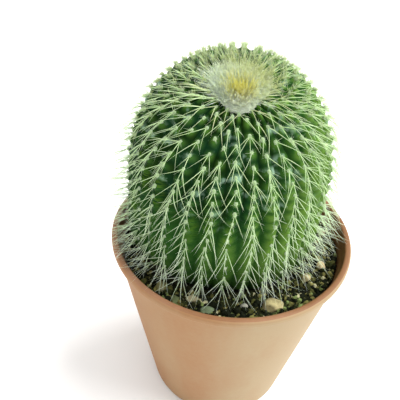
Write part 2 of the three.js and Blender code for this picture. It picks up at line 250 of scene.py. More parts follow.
stem = {
    "base": (-2.4, 1.9, 46.0),  # where the foot meets the compost
    "length": 41.6,
    "footRadius": 19.9,
    "widestRadius": 22.0,
    "widestAt": 0.178,
    "domePower": 4.08,
    "footLean": -6.5,  # degrees, towards the front
    "crownTilt": 27.7,
    "tiltPower": 1.6,
    "footSway": 2.1,
    "ribs": 33,
    "ribDepth": 1.8,
    "footRibDepth": 1.0,
    "crownRibDepth": 1.0,
    "backRibShare": 0.6,  # ribs are shallower high at the back
    "footZone": 0.5,
    "ribSteepness": 1.9,
    "areoleRows": 18,
    "ribStagger": 0.618,
    "firstRow": 0.3,
    "woolRadius": 5.6,
    "woolCorners": 0.12,  # a rounded triangle with a corner to the front
    "woolFrontCut": 0.8,  # that corner is shorter
    "crownDimple": 0.9,
    "foot": ((0.8, 0.97), (1.6, 0.92), (2.4, 0.85), (4.6, 0.64), (7, 0.34), (9, 0.14)),  # drop, share
    "rootDepth": 17,
    "tipRadius": 2.4,  # where the rings of the skin end, under the wool
    "waver": ((0.018, 5, 8), (0.016, 11, -13)),  # radians, waves round the stem, radians up the stem
    "samples": 601,
}


def traceStem():
    count = stem["samples"]
    u = 1 - (1 - np.linspace(0, 1, count)) ** 2
    bow = u ** stem["tiltPower"]
    tilt = np.radians(mix(stem["footLean"], stem["crownTilt"], bow))
    sway = np.radians(stem["footSway"] * (1 - bow))
    along = unit(np.stack([np.sin(sway), -np.sin(tilt), np.cos(tilt)], 1))
    under = np.clip((stem["widestAt"] - u) / stem["widestAt"], 0, 1)
    over = np.clip((u - stem["widestAt"]) / (1 - stem["widestAt"]), 0, 1)
    foot = mix(stem["footRadius"], stem["widestRadius"], np.sqrt(1 - under ** 2))
    dome = stem["widestRadius"] * np.sqrt(1 - over ** stem["domePower"])
    radius = np.where(u < stem["widestAt"], foot, dome)
    step = np.diff(u) * stem["length"]
    place = np.array(stem["base"]) + np.concatenate([[[0, 0, 0]], np.cumsum(along[:-1] * step[:, None], 0)])
    run = np.concatenate([[0], np.cumsum(np.hypot(step, np.diff(radius)))])
    low, high = np.maximum(np.arange(count) - 1, 0), np.minimum(np.arange(count) + 1, count - 1)
    lean = np.arctan2(radius[low] - radius[high], (u[high] - u[low]) * stem["length"])
    return {"t": run / run[-1], "radius": radius, "lean": lean, "along": along, "place": place}


stemLine = traceStem()


def along3(name, t):
    return np.stack([np.interp(t, stemLine["t"], stemLine[name][:, i]) for i in range(3)], -1)


def radiusAt(t):
    return np.interp(t, stemLine["t"], stemLine["radius"])


def skin(angle, t, height=0.0):
    # points a height above the outline, with the normal and the tangents across and down the stem
    angle, t = np.broadcast_arrays(np.asarray(angle, float), np.asarray(t, float))
    along = unit(along3("along", t))
    side = unit(np.cross([0.0, 1.0, 0.0], along))
    back = np.cross(along, side)
    outward = side * np.cos(angle)[..., None] + back * np.sin(angle)[..., None]
    lean = np.interp(t, stemLine["t"], stemLine["lean"])[..., None]
    normal = outward * np.cos(lean) + along * np.sin(lean)
    point = along3("place", t) + outward * radiusAt(t)[..., None] + normal * np.asarray(height)[..., None]
    across = unit(np.cross(along, outward))
    return point, normal, across, np.cross(across, normal)


def footPoint(angle, drop, share, extra=0.0):
    point = skin(angle, np.zeros_like(angle))[0]
    place, along = stemLine["place"][0], stemLine["along"][0]
    return place + (point - place) * (share + extra / stem["footRadius"]) - along * drop


def tNearTip(radius):
    late = stemLine["t"] > 0.5
    return np.interp(-np.asarray(radius), -stemLine["radius"][late], stemLine["t"][late])


def waver(angle, t):
    # ribs grow a little crooked
    (size, waves, climb), (sizeFine, wavesFine, climbFine) = stem["waver"]
    broad = size * np.sin(waves * angle + climb * t) * t
    return broad + sizeFine * np.sin(wavesFine * angle + climbFine * t + 1) * smooth(4 * t)


def ribAngle(rib):
    return rib * fullTurn / stem["ribs"] - math.pi / 2


def crownDip(t):
    return -stem["crownDimple"] * fall(radiusAt(t), stem["woolRadius"] + 1.8, 3)


def woolEdge(angle):
    corner = stem["woolFrontCut"] * (0.5 - 0.5 * np.sin(angle)) ** 4
    return stem["woolRadius"] * (1 + stem["woolCorners"] * np.sin(3 * angle)) - corner


def areoles():
    # place along the stem, angle and directions of every areole outside the wool and over the compost
    rib, row = (grid.ravel() for grid in np.indices((stem["ribs"], stem["areoleRows"])))
    row = row + (rib * stem["ribStagger"]) % 1
    t, base = row / stem["areoleRows"], ribAngle(rib)
    shown = (row > stem["firstRow"]) & (radiusAt(t) > woolEdge(base) + 0.1)
    t, base = t[shown], base[shown]
    found = {"t": t, "angle": base + waver(base, t)}
    found["point"], found["normal"], found["across"], found["down"] = skin(found["angle"], t, crownDip(t))
    found["right"], found["back"] = np.cos(found["angle"]), np.sin(found["angle"])
    keep = found["point"][:, 2] > stem["base"][2] + 0.4
    return {key: value[keep] for key, value in found.items()}


spots = areoles()
print("areoles:", len(spots["t"]))


# Ribbed skin of the stem

skinLook = {
    "columnsPerRib": 12,
    "rows": 216,
    "ribShape": 1.45,  # 1 is a straight flank, more rounds the crest
    "notch": 0.4,  # depth between two humps, near the foot
    "crownNotch": 0.45,
    "humpShift": 0.14,  # rows that a hump's top lies under its areole
    "lumps": (0.05, 2.2),  # height and size of the unevenness
    "surface": {"roughness": 0.5, "gloss": 0.03, "soft": (0.12, (0.5, 1.0, 0.25), 0.8)},
    "valley": (0.005, 0.023, 0.003),
    "flank": (0.017, 0.068, 0.0095),
    "crest": (0.104, 0.208, 0.034),
    "young": (0.14, 0.29, 0.04),
    # old: darker skin at the foot, partly older skin and partly painted shade down by the compost
    "old": (0.006, 0.020, 0.003),
    "humpHighlight": (0.26, 0.40, 0.30),  # painted highlight: bluish, on the upper humps
    "teal": (0.004, 0.050, 0.024),  # cooler patches between them
    "sunned": (0.11, 0.22, 0.012),  # yellower patches low on the flanks
    "strength": {"young": 0.7, "old": 0.85, "teal": 0.32, "humpHighlight": 0.8, "sunned": 0.6},
    "tealFade": 0.8,  # less of the cooler patches on the sunny side
    "mottle": 0.36,
    # painted light and shade: lightness in a valley, more of it on a crest, and more on the top of a hump
    "evenShading": (0.42, 0.30, 0.12),
    "lumpyShading": (0.0, 0.28, 0.70),
    "footShading": (0.22, 0.4),
    "paintedLightSide": 0.42,  # painted light: lighter towards +X, the side the key light comes from
    # more painted light half way up on the +X side, less near the crown
    "paintedLightWaist": 0.45,
    "paintedLightTop": -0.5,
    "frontShade": 0.5,  # darker high at the front, under the crown
}


def ribRelief(phase, t):
    # height under the outline, with how near the crest and how near a hump's top the point is
    x = 2 * np.abs(phase - np.floor(phase + 0.5))
    rib = np.floor(phase + 0.5) % stem["ribs"]
    along = stem["areoleRows"] * t - (rib * stem["ribStagger"]) % 1 + skinLook["humpShift"]
    hump = 0.5 + 0.5 * np.cos(fullTurn * along)
    room = stem["ribSteepness"] * math.pi * radiusAt(t) / stem["ribs"]
    depth = mix(stem["footRibDepth"], stem["ribDepth"], smooth(t / stem["footZone"]))
    depth = mix(depth, stem["crownRibDepth"], rise(t, 0.5, 0.3))
    depth *= mix(1.0, stem["backRibShare"], rise(np.sin(ribAngle(phase)), 0, 0.5) * rise(t, 0.3, 0.25))
    depth = np.minimum(depth, room)
    fade = rise(radiusAt(t), stem["tipRadius"], 2.6)
    notch = mix(skinLook["notch"], skinLook["crownNotch"], rise(t, 0.35, 0.4)) * fade
    height = -depth * x ** skinLook["ribShape"] - notch * (1 - hump) * (1 - x) ** 0.9
    return height, 1 - x, hump


def skinShading(base, t, crest, hump):
    # even flanks low down and lumpy ones higher up, with painted shade in the valleys, painted light on the
    # hump tops and the +X side, and painted shade high at the front
    right, front = np.cos(base), -np.sin(base)
    even, lumpy = (tone[0] + crest * (tone[1] + tone[2] * hump)
                   for tone in (skinLook["evenShading"], skinLook["lumpyShading"]))
    waist = rise(t, 0.28, 0.1) * (1 - rise(t, 0.64, 0.1)) * (right > 0)
    reach = mix(0.4, 0.55, rise(t, 0.3, 0.2)) + 0.25 * waist  # how much of the painted light gets into the valleys
    sun = skinLook["paintedLightSide"] * right * (reach + (1 - reach) * crest) * smooth(t / 0.2)
    sun = sun * (1.35 - 0.25 * rise(t, 0.35, 0.4) + skinLook["paintedLightWaist"] * waist
                 + skinLook["paintedLightTop"] * rise(t, 0.68, 0.12))
    tone = mix(even, lumpy, rise(t + 0.12 * right, 0.2, 0.35)) + sun
    return tone * (1 - skinLook["frontShade"] * rise(front, 0.6, 0.3) * rise(t, 0.55, 0.12))


def skinMaterial():
    look = Look("greenSkin")
    crest, age, hump, tone, shade = look.marks("crest", "age", "hump", "tone", "shade")

    def tinted(colour, name, *shares):
        return look.blend(look.times(skinLook["strength"][name], *shares), colour, skinLook[name])

    mottle = look.times(look.maths("SUBTRACT", look.noise(1.1, 5, 0.65), 0.5), skinLook["mottle"])
    # the tone mark carries the painted light and shade from skinShading
    colour = look.ramp(look.plus(tone, mottle), (0.05, skinLook["valley"]), (0.42, skinLook["flank"]),
                       (0.95, skinLook["crest"]))
    colour = tinted(colour, "young", look.ramp(age, (0.45, 0), (0.95, 1)), crest, hump)
    # the darker foot is partly older skin and partly painted shade by the compost
    colour = tinted(colour, "old", look.ramp(age, (0.02, 1), (0.22, 0)))
    cool = look.ramp(look.noise(0.2, 3), (0.48, 0), (0.64, 1))
    middle = look.ramp(age, (0.3, 0.25), (0.5, 1), (0.95, 1))
    colour = tinted(colour, "teal", cool, middle, shade)
    # painted highlight: bluish patches on the upper humps
    highlightPatches = look.ramp(look.noise(0.33, 4), (0.55, 0), (0.66, 1))
    high = look.ramp(age, (0.3, 0), (0.6, 1), (0.88, 1), (0.95, 0.2))
    colour = tinted(colour, "humpHighlight", highlightPatches, high, hump)
    lines = look.ramp(look.noise(0.5, 4, 0.6, (1, 1, 7)), (0.42, 0), (0.6, 1))
    patch = look.ramp(look.noise(0.16, 3), (0.36, 1), (0.5, 0))
    low = look.ramp(age, (0.08, 0), (0.2, 1), (0.5, 1), (0.62, 0))
    colour = tinted(colour, "sunned", patch, low, lines, crest)
    look.surface(colour, **skinLook["surface"])
    look.bump(look.plus(look.noise(4.5, 4, 0.6), look.times(lines, low, 0.8)), 0.4, 0.14)
    return look.material


def makeSkin():
    columns = stem["ribs"] * skinLook["columnsPerRib"]
    phase = np.arange(columns) / skinLook["columnsPerRib"]
    base = ribAngle(phase)
    shadeSide = 1 - skinLook["tealFade"] * rise(np.cos(base), -0.1, 0.7)
    rings = []
    marks = {"crest": [], "age": [], "hump": [], "tone": [], "shade": []}

    def addRing(ring, *values):
        rings.append(ring)
        for mark, value in zip(marks.values(), values):
            mark.append(np.broadcast_to(value, columns))

    footHeight, footCrest, _ = ribRelief(phase, np.zeros(columns))
    valleyTone, crestTone = skinLook["footShading"]
    for drop, share in reversed(stem["foot"]):
        hollow = footHeight * max(0, 1 - drop / 3)
        addRing(footPoint(base, drop, share, hollow[:, None]), footCrest * 0.6, 0, 0,
                valleyTone + crestTone * footCrest, shadeSide)
    lumpHeight, lumpSize = skinLook["lumps"]
    for t in np.linspace(0, tNearTip(stem["tipRadius"]), skinLook["rows"]):
        ts = np.full(columns, t)
        height, crest, hump = ribRelief(phase, ts)
        point = skin(base + waver(base, ts), ts, height + crownDip(ts))[0]
        uneven = lumpHeight * ripple(point, 3, lumpSize)[:, None] * unit(point - stemLine["place"][0])
        addRing(point + uneven, crest, t, hump, skinShading(base, t, crest, hump), shadeSide)
    tip = skin(0.0, 1.0, crownDip(1.0))[0]
    points, faces = closedRings(rings, footPoint(np.zeros(1), stem["rootDepth"], 0)[0], tip)
    marks = {key: np.concatenate([*value, [0, 1]]) for key, value in marks.items()}
    piece = meshPiece("ribbedStem", points, faces, skinMaterial(), marks)
    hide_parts("cactus_body")


makeSkin()
print("stem done")


# The pot's and the compost's measures and the pebbles, which the spines keep clear of

pot = {
    "height": 50.0,
    "rimRadius": 27.5,
    "rimWidth": 1.5,
    "rimDepth": 1.8,
    "wallRadius": 26.8,  # outside, carried up to the top
    "taper": 0.171,
    "wall": 0.9,
    "floor": 1.2,
    "footRound": 0.8,
    "drainHoles": 6,
    "drainRadius": 2.2,
    "drainRing": 10.5,
    "sides": 192,
    "clay": (0.20, 0.092, 0.037),
    "clayPale": (0.34, 0.182, 0.105),
    # the outer wall's paler beige is painted light coming through the thin plastic
    "wallPale": (0.352, 0.256, 0.14),
    "wallWarm": (0.305, 0.15, 0.06),
    "sideLightShift": 0.008,  # painted light and shade: the wall paler and the rim darker towards +X, where the key light comes from, in shares of the ramp for each millimetre
    "highlightEdgeWidth": 0.3,  # width of the painted highlight along the outer edge of the rim
    "highlightEdgeShare": 0.75,
    "surface": {"roughness": 0.55, "gloss": 0.2, "soft": (0.1, (1.0, 0.6, 0.35), 1.2)},
}
compost = {
    "depth": 4.0,  # surface below the rim
    "gap": 0.3,
    "relief": 0.55,
    "reliefSize": 2.6,
    "columns": 192,
    "rows": 26,
    "dark": (0.004, 0.006, 0.002),
    "brown": (0.028, 0.031, 0.008),
    "lit": (0.11, 0.08, 0.045),
    "surface": {"roughness": 0.9, "gloss": 0.15},
}
compostHeight = pot["height"] - compost["depth"]
pebbles = {
    # x, y, half sizes, turn, colour
    "stone_tan_large": (8.4, -19.9, (2.4, 1.7, 1.5), 18, (0.36, 0.31, 0.15)),
    "stone_tan_right": (16.4, -11.6, (1.2, 1.1, 1.0), 40, (0.40, 0.34, 0.17)),
    "stone_tan_rim": (20.3, -7.6, (1.1, 1.4, 1.0), -15, (0.46, 0.37, 0.19)),
    "stone_olive": (-14.6, -16.2, (1.3, 1.3, 1.0), 25, (0.20, 0.19, 0.08)),
    "stone_pale_left": (-11.6, -19.6, (1.1, 1.0, 0.9), 70, (0.125, 0.155, 0.065)),
    "stone_brown": (-7.9, -19.2, (1.5, 0.9, 0.8), -10, (0.31, 0.28, 0.16)),
    "stone_pale_front": (-4.9, -21.9, (1.5, 1.0, 0.9), 12, (0.14, 0.185, 0.10)),
    "stone_grey": (2.6, -20.2, (0.9, 0.7, 0.6), 30, (0.32, 0.32, 0.26)),
    "stone_back_right": (18.8, 14.2, (1.5, 1.1, 1.0), -35, (0.44, 0.36, 0.19)),
    "stone_right": (22.3, 3.4, (0.9, 1.2, 0.8), 5, (0.30, 0.27, 0.15)),
}
pebbleLift = 0.3  # share of its half height that a pebble's middle lies over the compost


def potRadius(height):
    return pot["wallRadius"] - pot["taper"] * (pot["height"] - height)


# Spines and hairs: thin tapered tubes with closed ends

clearance = {
    "margin": 0.2,  # from the rim, the compost and the pebbles
    "tries": 22,
    "turnUp": 0.03,  # towards the normal at each try
    "lift": 0.09,
    "shorten": 0.97,
    "lastTries": 14,  # from this one on they are cut shorter
    "cut": 0.85,
}


def bentPaths(roots, directions, bends, lengths, steps):
    # points of curved lines: straight out of the root, bending more towards the tip
    s = np.linspace(0, 1, steps + 1)[None, :, None]
    return roots[:, None] + lengths[:, None, None] * (directions[:, None] * s + bends[:, None] * s ** 2)


def tubeMesh(paths, radii, sides, point=1.6):
    # radii is each tube's radius at the root; it tapers to nothing at the tip
    count, rows = len(paths), paths.shape[1] - 1
    tangent = unit(np.gradient(paths, axis=1))
    chord = unit(paths[:, -1] - paths[:, 0])
    helper = np.where(np.abs(chord[:, 2:]) > 0.9, np.array([[1.0, 0, 0]]), np.array([[0, 0, 1.0]]))
    first = unit(np.cross(tangent, helper[:, None]))
    second = np.cross(tangent, first)
    turn = aroundRing(sides)[:, None]
    s = np.linspace(0, 1, rows + 1)[:rows]
    radius = radii[:, None] * (1 - s[None] ** point)
    ring = first[:, :rows, None] * np.cos(turn) + second[:, :rows, None] * np.sin(turn)
    rings = paths[:, :rows, None] + radius[:, :, None, None] * ring
    points = np.concatenate([rings.reshape(count, -1, 3), paths[:, :1], paths[:, -1:]], 1)
    along = np.concatenate([np.repeat(s, sides), [0, 1]])
    return *closedShapes(points, rows, sides), np.tile(along, count)


def tooClose(paths, margin):
    # which paths come within the margin of the rim, the compost or a pebble
    x, y, z = paths[..., 0], paths[..., 1], paths[..., 2]
    inner = pot["rimRadius"] - pot["rimWidth"] - margin - 0.2
    bad = (z < pot["height"] + margin) & (np.hypot(x, y) > inner)
    bad |= z < compostHeight + 0.3 + margin
    for px, py, half, turn, _ in pebbles.values():
        u, v = turnFlat(x - px, y - py, -turn)
        w = z - compostHeight - half[2] * pebbleLift
        reach = (u / (half[0] + margin)) ** 2 + (v / (half[1] + margin)) ** 2 + (w / (half[2] + margin)) ** 2
        bad |= reach < 1.15
    return bad[:, 2:].any(1)


def raiseClear(roots, directions, bends, lengths, normals, steps):
    # spines that would touch something lift towards the normal, then shorten, and are left out at last
    directions, lengths = directions.copy(), lengths.copy()
    for attempt in range(clearance["tries"]):
        bad = tooClose(bentPaths(roots, directions, bends, lengths, steps), clearance["margin"])
        if not bad.any():
            break
        lifted = directions[bad] + normals[bad] * clearance["turnUp"] + upward * clearance["lift"]
        directions[bad] = unit(lifted)
        lengths[bad] *= clearance["shorten"] if attempt < clearance["lastTries"] else clearance["cut"]
    keep = ~tooClose(bentPaths(roots, directions, bends, lengths, steps), clearance["margin"] * 0.5)
    return directions, lengths, keep


def lumps(centres, axes, halves, rows, columns, seed, rough):
    # small closed lumps: axes are three unit vectors for each, halves the three half sizes
    ball = ballPoints(rows, columns)
    rng = np.random.default_rng(seed)
    scale = 1 + rough * rng.uniform(-1, 1, (len(centres), len(ball)))
    local = ball[None] * scale[..., None] * halves[:, None]
    points = centres[:, None] + np.einsum("nkc,ncd->nkd", local, axes)
    return closedShapes(points, rows, columns)


# Areole wool and spines

woolTufts = {
    "halves": (0.342, 0.437, 0.28),  # half sizes across the rib, along it and off the skin
    "sizes": (0.62, 0.95),  # at the foot and from two thirds up
    "hairs": 16,
    "hairLength": 0.75,
    "hairRadius": 0.025,
    "colour": (0.58, 0.67, 0.46),
    "shadow": (0.34, 0.43, 0.26),
    "old": (0.30, 0.44, 0.20),
}
feltLook = {"roughness": 0.85, "soft": (0.4, (0.5, 0.5, 0.4), 0.5), "sheen": 0.5}
spineLook = {
    "pale": {"base": (0.42, 0.60, 0.30), "tip": (0.74, 0.90, 0.64), "upper": (0.52, 0.71, 0.38),
             "young": (0.59, 0.65, 0.32)},
    "youngPale": {"base": (0.26, 0.36, 0.11), "tip": (0.48, 0.60, 0.26), "upper": (0.42, 0.54, 0.22),
                  "young": (0.50, 0.54, 0.18)},
    "dullest": (0.80, 0.83, 0.74),  # the colour of the dullest ones is multiplied by this
    "surface": {"roughness": 0.38, "gloss": 0.35, "soft": (0.7, (0.5, 0.5, 0.35), 0.4)},
}
longSpines = {
    # from this share of the stem up: fewest and most spines in a fan, share of areoles with one at most,
    # and the fan's half width in radians
    "zones": ((0.0, (4, 6), 0.2, (0.65, 1.3)), (0.2, (3, 4), 0.25, (0.5, 1.3)),
              (0.34, (2, 3), 0.2, (0.4, 1.1)), (0.62, (3, 5), 0.05, (0.45, 0.95))),
    "flankMore": 0.6,  # extra ones low on the left and right flanks
    "sunMore": 2.6,  # extra ones on the right, half way up
    "shadeMore": 1.8,  # and on the left
    "shadeRise": 0.35,  # spines stand out further there
    "shadeStretch": 0.2,
    "flankNarrow": 0.6,  # fans are narrower on the upper flanks
    "fullFan": 1.25,  # fans of six and more are wider
    "footThin": 0.45,  # share of them left at the foot on the right
    "footShort": 0.85,
    "flankStretch": 1.2,
    "shortest": 0.62,  # share of the full length
    "sideLean": 0.35,  # radians that the fans lean to one side for a stretch of a rib
    "sideStretch": 9.0,
    "lieDown": 0.22,  # lower off the skin on the upper flanks
    "sweep": 0.38,  # and away from the middle of the front
    "flankSpread": 0.65,
    "length": (6.6, 10.2),
    "crownLength": (6.8, 10.4),
    "stand": (0.85, 0.7),  # radians off the skin at the foot and near the crown
    "standVary": 0.12,
    "frontLie": 0.25,  # radians lower in front of the crown
    "radius": 0.058,
    "radiusVary": (0.75, 1.25),
    "footRadius": 0.8,  # finer at the foot
    "crownRise": 0.3,  # more, beside the wool
    "droop": 0.12,
    "droopVary": (0.4, 1.6),
    "scatter": 0.0,  # distance of the roots from the middle of an areole
    "mesh": (5, 4),  # steps along a spine and sides round it
    "besideWool": 0.55,
    "behind": 0.3,  # length behind the wool
    "thinFrom": 0.62,  # in front of the crown, from here up, spines are fewer and shorter
    "thinShare": 0.8,
    "thinLength": 0.95,
}
shortSpines = {
    "flankFewer": 0.75,
    "length": (1.2, 3.2),
    "share": (0.6, 0.9),  # of that length, at the foot and from a third up
    "stand": (0.75, 0.6),
    "standVary": 0.2,
    "fan": 0.8,
    "radius": 0.045,
    "radiusVary": (0.8, 1.25),
    "droop": 0.05,
    "droopVary": (-0.5, 2.0),
    "scatter": 0.0,
    "mesh": (3, 3),
}
crownSpines = {
    "from": 0.55,
    "each": 14,
    "backMore": 14,
    "length": (0.9, 2.0),
    "share": (0.65, 1.1),
    "stand": 1.1,
    "standVary": 0.2,
    "radius": 0.04,
    "radiusVary": (0.8, 1.25),
    "droop": 0.03,
    "droopVary": (-1.0, 2.0),
    "scatter": 0.5,
    "mesh": (3, 3),
}


def spineMaterial(name, tones):
    look = Look(name)
    along, age, tint = look.marks("along", "age", "tint")
    nearTip = tuple(mix(np.array(tones["base"]), np.array(tones["tip"]), 0.75))
    colour = look.ramp(along, (0.0, tones["base"]), (0.22, nearTip), (1.0, tones["tip"]))
    colour = look.blend(look.ramp(age, (0.15, 0), (0.6, 1)), colour, tones["upper"])
    nearCrown = look.ramp(look.plus(age, look.times(tint, 0.14)), (0.93, 0), (1.0, 1))
    colour = look.blend(nearCrown, colour, tones["young"])
    dull = look.ramp(tint, (0.0, spineLook["dullest"]), (1.0, 1))
    colour = look.blend(1.0, colour, dull, "MULTIPLY")
    colour = look.blend(look.times(look.noise(1.3, 3), 0.2), colour, tones["base"])
    look.surface(colour, **spineLook["surface"])
    look.bump(look.noise(7, 3, 0.6), 0.3, 0.03)
    return look.material


def woolMaterial(name, colour, shadow, tints):
    # each tint comes in where the mark of its name is strong
    look = Look(name)
    colour = look.ramp(look.noise(1.6, 4, 0.7), (0.36, shadow), (0.62, colour))
    for mark, tint in tints.items():
        colour = look.blend(look.marks(mark)[0], colour, tint)
    look.surface(colour, **feltLook)
    look.bump(look.noise(6, 4, 0.7), 0.6, 0.08)
    return look.material


def offSkin(which, turn, stand):
    # directions from areoles: turn 0 is down the rib, stand is the angle off the skin
    flat = spots["down"][which] * np.cos(turn)[:, None] + spots["across"][which] * np.sin(turn)[:, None]
    return unit(flat * np.cos(stand)[:, None] + spots["normal"][which] * np.sin(stand)[:, None])


def makeAreoleWool():
    rng = np.random.default_rng(11)
    count = len(spots["t"])
    size = rng.uniform(0.75, 1.25, count) * mix(*woolTufts["sizes"], smooth(spots["t"] * 1.5))
    axes = np.stack([spots["across"], spots["down"], spots["normal"]], 1)
    halves = size[:, None] * np.array(woolTufts["halves"])
    centres = spots["point"] + spots["normal"] * 0.06
    pads, padFaces = lumps(centres, axes, halves, 4, 8, 12, 0.22)
    which = np.repeat(np.arange(count), woolTufts["hairs"])
    turn, lift = rng.uniform(0, fullTurn, len(which)), rng.uniform(0.15, 1.3, len(which))
    directions = offSkin(which, math.pi / 2 - turn, lift)
    roots = centres[which] + directions * (halves[which].min(1) * 0.6)[:, None]
    bends = rng.normal(0, 0.35, roots.shape)
    lengths = woolTufts["hairLength"] * rng.uniform(0.5, 1.2, len(which)) * size[which]
    paths = bentPaths(roots, directions, bends, lengths, 2)
    hairs, hairFaces, _ = tubeMesh(paths, np.full(len(which), woolTufts["hairRadius"]), 3)
    old = smooth(spots["t"] * 1.7) * 0.9
    parts = [(pads, padFaces, {"warm": np.repeat(old, len(pads) // count)}),
             (hairs, hairFaces, {"warm": np.repeat(old[which], len(hairs) // len(which))})]
    points, faces, marks = joinMeshes(parts)
    tints = {"warm": woolTufts["old"]}
    material = woolMaterial("areoleFelt", woolTufts["colour"], woolTufts["shadow"], tints)
    piece = meshPiece("areoleWool", points, faces, material, marks)
    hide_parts("cactus_body")


def lowFlank():
    # how far each areole lies low on the left or the right
    return fall(spots["t"], 0.45, 0.2) * rise(np.abs(spots["right"]), 0.5, 0.35)


def makeSpines(name, look, which, turn, stand, lengths, material, rng, thick=1.0, limp=1.0):
    steps, sides = look["mesh"]
    count, normals, scatter = len(which), spots["normal"][which], look["scatter"]
    radii = look["radius"] * rng.uniform(*look["radiusVary"], count) * thick
    droop = look["droop"] * rng.uniform(*look["droopVary"], count) * limp
    roots = spots["point"][which] + normals * (0.2 - 0.4 * scatter)
    roots = roots + spots["down"][which] * (scatter * rng.uniform(-1.4, 1.4, count))[:, None]
    roots = roots + spots["across"][which] * (scatter * rng.uniform(-1, 1, count))[:, None]
    bends = -normals * droop[:, None] + rng.normal(0, 0.05, roots.shape)
    directions = offSkin(which, turn, stand)
    directions, lengths, keep = raiseClear(roots, directions, bends, lengths, normals, steps)
    paths = bentPaths(roots, directions, bends, lengths, steps)[keep]
    points, faces, along = tubeMesh(paths, radii[keep], sides)
    each = len(points) // len(paths)
    marks = {"along": along, "age": np.repeat(spots["t"][which][keep], each),
             "tint": np.repeat(rng.uniform(0, 1, len(paths)), each)}
    piece = meshPiece(name, points, faces, material, marks)
    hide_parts("cactus_body")
    print(name + ":", len(paths), "spines")


def makeLongSpines(material):
    rng = np.random.default_rng(21)
    look = longSpines
    height, right, back = spots["t"], spots["right"], spots["back"]
    sparse = rise(-back, 0.4, 0.5) * rise(height, look["thinFrom"], 0.12)
    upper = rise(height, 0.35, 0.2)
    low = lowFlank()
    lean = look["sideLean"] * ripple(spots["point"], 24, look["sideStretch"])
    lean += look["sweep"] * right * fall(back, 0.5, 0.8) * (1 - 0.8 * upper)
    thinned = fall(height, 0.16, 0.08) * rise(right, 0.3, 0.3)
    beside = (1 - low) * fall(height, 0.8, 0.15)
    more = look["flankMore"] * low + look["sunMore"] * rise(right, 0.35, 0.4) * beside
    more += look["shadeMore"] * rise(-right, 0.35, 0.4) * beside
    flank = rise(back, -0.85, 0.5) * rise(height, 0.3, 0.15)
    which, turn, share = [], [], []
    for k in range(len(height)):
        _, each, bare, spread = [zone for zone in look["zones"] if height[k] >= zone[0]][-1]
        count = rng.integers(each[0], each[1] + 1)
        if rng.uniform() < look["thinShare"] * sparse[k]:
            count = rng.integers(1, 3)
        if rng.uniform() < bare * (1 - low[k]):
            count = rng.integers(0, 2)
        count = int(count * mix(1.0, look["footThin"], thinned[k]) + more[k] * (1 - thinned[k]) + 0.5)
        fan = (np.arange(count) + 0.5) / count * 2 - 1 + rng.uniform(-0.4, 0.4, count) / count
        fan = np.sign(fan) * np.abs(fan) ** 0.65
        which += [k] * count
        width = rng.uniform(*spread) * mix(1, look["flankNarrow"], flank[k])
        width *= mix(look["fullFan"] if count > 5 else 1.0, look["flankSpread"], low[k])
        turn += list(fan * min(width, 1.5) + lean[k])
        share += list(rng.uniform(look["shortest"], 1, count) * rng.uniform(0.75, 1.1))
    which = np.array(which)
    t, sparse, low = height[which], sparse[which], low[which]
    shadeEdge = (rise(-right, 0.75, 0.2) * fall(height, 0.6, 0.1) * (height > 0.12))[which]
    stand = mix(*look["stand"], smooth(t * 1.6)) + rng.normal(0, look["standVary"], len(t)) * mix(1, 0.5, low)
    stand -= look["frontLie"] * sparse
    stand += look["shadeRise"] * shadeEdge + rng.normal(0, look["standVary"], len(t)) * shadeEdge
    stand -= look["lieDown"] * (upper * np.abs(right) * fall(height, 0.84, 0.1))[which]
    stand += look["crownRise"] * rise(t, 0.84, 0.12) * (1 - sparse)
    least, most = (mix(*ends, rise(t, 0.4, 0.6)) for ends in zip(look["length"], look["crownLength"]))
    lengths = rng.uniform(least, most) * np.array(share) * mix(1.0, look["thinLength"], sparse)
    behind = rise(back[which], -0.1, 0.5) * rise(t, 0.54, 0.12)
    backLength = mix(look["behind"], look["besideWool"], rise(t, 0.75, 0.08))
    lengths *= mix(1.0, backLength, behind) * mix(1.0, look["flankStretch"], low)
    lengths *= (1 + look["shadeStretch"] * shadeEdge) * mix(1.0, look["footShort"], thinned[which])
    thick, limp = mix(look["footRadius"], 1.0, smooth(t * 2)), 1 + upper[which]
    makeSpines("longSpines", look, which, np.array(turn), stand, lengths, material, rng, thick, limp)


def makeShortSpines(material):
    rng = np.random.default_rng(22)
    look = shortSpines
    which = np.nonzero(rng.uniform(0, 1, len(spots["t"])) > look["flankFewer"] * lowFlank())[0]
    t = spots["t"][which]
    turn = rng.normal(0, look["fan"], len(t))
    stand = mix(*look["stand"], smooth(t)) + rng.normal(0, look["standVary"], len(t))
    lengths = rng.uniform(*look["length"], len(t)) * mix(*look["share"], smooth(t * 3))
    makeSpines("shortSpines", look, which, turn, stand, lengths, material, rng)


def makeCrownSpines(material):
    # young upright spines behind and beside the wool, none in the sparse patch in front
    rng = np.random.default_rng(23)
    look = crownSpines
    high = np.nonzero((spots["t"] > look["from"]) & (spots["back"] > -0.35))[0]
    behind = rise(spots["back"][high], -0.1, 0.5)
    which = np.repeat(high, (look["each"] + look["backMore"] * behind).astype(int))
    turn = rng.uniform(0, fullTurn, len(which))
    stand = look["stand"] + rng.normal(0, look["standVary"], len(which))
    lengths = rng.uniform(*look["length"], len(which))
    lengths *= mix(*look["share"], rise(spots["t"][which], 0.7, 0.1))
    makeSpines("crownSpines", look, which, turn, stand, lengths, material, rng)


paleSpine = spineMaterial("paleSpine", spineLook["pale"])
makeAreoleWool()
makeLongSpines(paleSpine)
makeShortSpines(paleSpine)
makeCrownSpines(spineMaterial("youngPaleSpine", spineLook["youngPale"]))
print("areoles and spines done")


# Crown: a rounded triangle of felted wool with young golden spines standing in it

